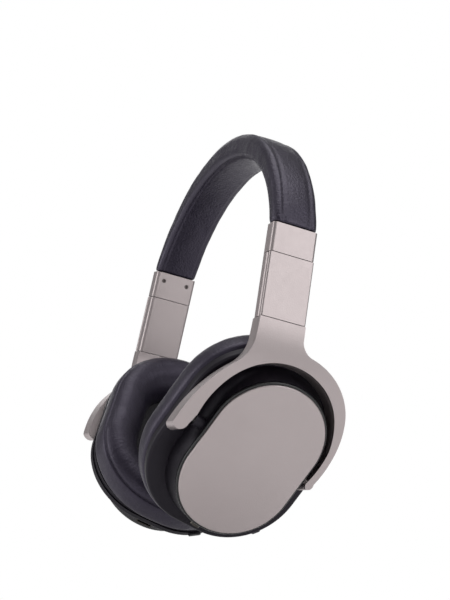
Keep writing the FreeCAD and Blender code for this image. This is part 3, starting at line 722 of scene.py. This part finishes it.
def make_driver_cloth(side):
    """A taut cloth over the driver grille, bowed out a little in the middle."""
    rim = oval(**CLOTH_OVAL, arc_steps=16, side_steps=4)
    points, faces = [cup_point(side, CLOTH_LEVEL - CLOTH_DOME, 0, 0)], []
    count = len(rim)
    for ring in range(1, CLOTH_ROUNDS + 1):
        share = ring / CLOTH_ROUNDS
        level = CLOTH_LEVEL - CLOTH_DOME * (1 - share**2)
        for wide, long in rim:
            points.append(cup_point(side, level, long * share, wide * share))
    for j in range(count):
        faces.append((0, 1 + j, 1 + (j + 1) % count))
    for ring in range(CLOTH_ROUNDS - 1):
        base, above = 1 + ring * count, 1 + (ring + 1) * count
        for j in range(count):
            k = (j + 1) % count
            faces.append((base + j, above + j, above + k, base + k))
    cloth = mesh_object("driver_cloth_" + side, points, faces)
    layer = cloth.data.uv_layers.new(name="loft")
    places = [(0.0, 0.0)]
    for ring in range(1, CLOTH_ROUNDS + 1):
        places += [
            (wide * MM * ring / CLOTH_ROUNDS, long * MM * ring / CLOTH_ROUNDS) for wide, long in rim
        ]
    for loop in cloth.data.loops:
        layer.data[loop.index].uv = places[loop.vertex_index]
    wear(cloth, "speaker_cloth")
    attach(cloth, "cup_" + side)


for side in SIDES:
    make_driver_cloth(side)

# ---------------------------------------------------------------- floor, light, camera

# The floor lies below the furthest reach of the cups with both arms drawn out.
FLOOR_DROP = 24 * MM
FLOOR_LEVEL = CAD_LOW.z - FLOOR_DROP
FLOOR_HALF = 6.0
FLOOR_TONE = 0.86
FLOOR_ROUGHNESS = 0.7
FLOOR_GLOW = 0.15
# To a camera the floor starts to fade at the first distance and is gone at the second.
FLOOR_FADE = (0.14, 0.48)


def make_floor():
    """A pale floor seen only from above, so that a camera below it still sees the object."""
    corners = [
        (-FLOOR_HALF, -FLOOR_HALF, FLOOR_LEVEL),
        (FLOOR_HALF, -FLOOR_HALF, FLOOR_LEVEL),
        (FLOOR_HALF, FLOOR_HALF, FLOOR_LEVEL),
        (-FLOOR_HALF, FLOOR_HALF, FLOOR_LEVEL),
    ]
    floor = mesh_object("studio_floor", corners, [(0, 1, 2, 3)])
    material = bpy.data.materials.new("studio_floor")
    material.use_nodes = True
    tree = material.node_tree
    shader = tree.nodes["Principled BSDF"]
    shader.inputs["Base Color"].default_value = (FLOOR_TONE, FLOOR_TONE, FLOOR_TONE, 1)
    shader.inputs["Emission Color"].default_value = (1, 1, 1, 1)
    shader.inputs["Emission Strength"].default_value = FLOOR_GLOW
    shader.inputs["Roughness"].default_value = FLOOR_ROUGHNESS
    place = add_node(tree, "ShaderNodeTexCoord")
    centred = add_node(tree, "ShaderNodeVectorMath", operation="SUBTRACT")
    centred.inputs[1].default_value = (0, 0, FLOOR_LEVEL)
    reach = add_node(tree, "ShaderNodeVectorMath", operation="LENGTH")
    fade = add_node(tree, "ShaderNodeMapRange", interpolation_type="SMOOTHSTEP")
    fade.inputs["From Min"].default_value = FLOOR_FADE[0]
    fade.inputs["From Max"].default_value = FLOOR_FADE[1]
    tree.links.new(place.outputs["Object"], centred.inputs[0])
    tree.links.new(centred.outputs[0], reach.inputs[0])
    tree.links.new(reach.outputs["Value"], fade.inputs["Value"])
    path = add_node(tree, "ShaderNodeLightPath")
    seen_fade = add_node(tree, "ShaderNodeMath", operation="MULTIPLY")
    tree.links.new(fade.outputs["Result"], seen_fade.inputs[0])
    tree.links.new(path.outputs["Is Camera Ray"], seen_fade.inputs[1])
    below = add_node(tree, "ShaderNodeNewGeometry")
    gone = add_node(tree, "ShaderNodeMath", operation="MAXIMUM")
    tree.links.new(below.outputs["Backfacing"], gone.inputs[0])
    tree.links.new(seen_fade.outputs["Value"], gone.inputs[1])
    clear = add_node(tree, "ShaderNodeBsdfTransparent")
    both = add_node(tree, "ShaderNodeMixShader")
    tree.links.new(gone.outputs["Value"], both.inputs[0])
    tree.links.new(shader.outputs["BSDF"], both.inputs[1])
    tree.links.new(clear.outputs["BSDF"], both.inputs[2])
    tree.links.new(both.outputs["Shader"], tree.nodes["Material Output"].inputs["Surface"])
    floor.data.materials.append(material)


WORLD_LIGHT = 0.22


def make_world():
    """A white background for the camera, and a weaker even light on the object."""
    world = bpy.data.worlds.new("studio")
    bpy.context.scene.world = world
    world.use_nodes = True
    tree = world.node_tree
    tree.nodes.clear()
    seen = add_node(tree, "ShaderNodeBackground")
    seen.inputs["Strength"].default_value = 1.0
    seen.inputs["Color"].default_value = (1, 1, 1, 1)
    lit = add_node(tree, "ShaderNodeBackground")
    lit.inputs["Strength"].default_value = WORLD_LIGHT
    lit.inputs["Color"].default_value = (1.0, 0.99, 1.0, 1)
    path = add_node(tree, "ShaderNodeLightPath")
    mix = add_node(tree, "ShaderNodeMixShader")
    tree.links.new(path.outputs["Is Camera Ray"], mix.inputs[0])
    tree.links.new(lit.outputs["Background"], mix.inputs[1])
    tree.links.new(seen.outputs["Background"], mix.inputs[2])
    out = add_node(tree, "ShaderNodeOutputWorld")
    tree.links.new(mix.outputs["Shader"], out.inputs["Surface"])


MIDDLE = (CAD_LOW + CAD_HIGH) / 2
# name, direction from the object, distance, width, height, watts
SOFT_BOXES = (
    ("outer_side", (0.80, 0.38, 0.46), 1.1, 0.8, 0.8, 3.3),
    ("overhead", (0.10, -0.15, 1.0), 1.1, 1.3, 1.0, 6.5),
    ("front_fill", (-0.30, -0.94, 0.12), 1.2, 0.7, 0.9, 4.4),
    ("far_side", (-0.95, 0.25, 0.35), 1.3, 0.9, 0.9, 3.6),
)


def make_lights():
    for name, direction, distance, width, height, watts in SOFT_BOXES:
        lamp = bpy.data.lights.new(name, "AREA")
        lamp.shape = "RECTANGLE"
        lamp.size, lamp.size_y = width, height
        lamp.energy = watts
        made = bpy.data.objects.new(name, lamp)
        bpy.context.scene.collection.objects.link(made)
        away = Vector(direction).normalized()
        made.location = MIDDLE + away * distance
        made.rotation_mode = "QUATERNION"
        made.rotation_quaternion = (-away).to_track_quat("-Z", "Y")
        made.visible_camera = False


CAMERA_PLACE = Vector((650.9, -250.4, -224.5)) * MM
CAMERA_AZIMUTH = math.radians(68.738)
CAMERA_ELEVATION = math.radians(-12.444)
CAMERA_ROLL = math.radians(-10.718)
CAMERA_LENS = 85.66
CAMERA_SENSOR = 36
CAMERA_CLIP = (0.01, 50)


def make_camera():
    data = bpy.data.cameras.new("camera")
    data.lens = CAMERA_LENS
    data.sensor_width = CAMERA_SENSOR
    data.clip_start, data.clip_end = CAMERA_CLIP
    camera = bpy.data.objects.new("camera", data)
    bpy.context.scene.collection.objects.link(camera)
    azimuth, elevation = CAMERA_AZIMUTH, CAMERA_ELEVATION
    # A negative elevation puts the camera below the object, looking up.
    forward = Vector(
        (
            -math.sin(azimuth) * math.cos(elevation),
            math.cos(azimuth) * math.cos(elevation),
            -math.sin(elevation),
        )
    )
    level = Vector((math.cos(azimuth), math.sin(azimuth), 0))
    down = forward.cross(level)
    right = level * math.cos(CAMERA_ROLL) + down * math.sin(CAMERA_ROLL)
    up = level * math.sin(CAMERA_ROLL) - down * math.cos(CAMERA_ROLL)
    turn = Matrix((right, up, -forward)).transposed()
    camera.matrix_world = Matrix.Translation(CAMERA_PLACE) @ turn.to_4x4()
    bpy.context.scene.camera = camera


make_floor()
make_world()
make_lights()
make_camera()
bpy.context.scene.view_settings.view_transform = "Standard"
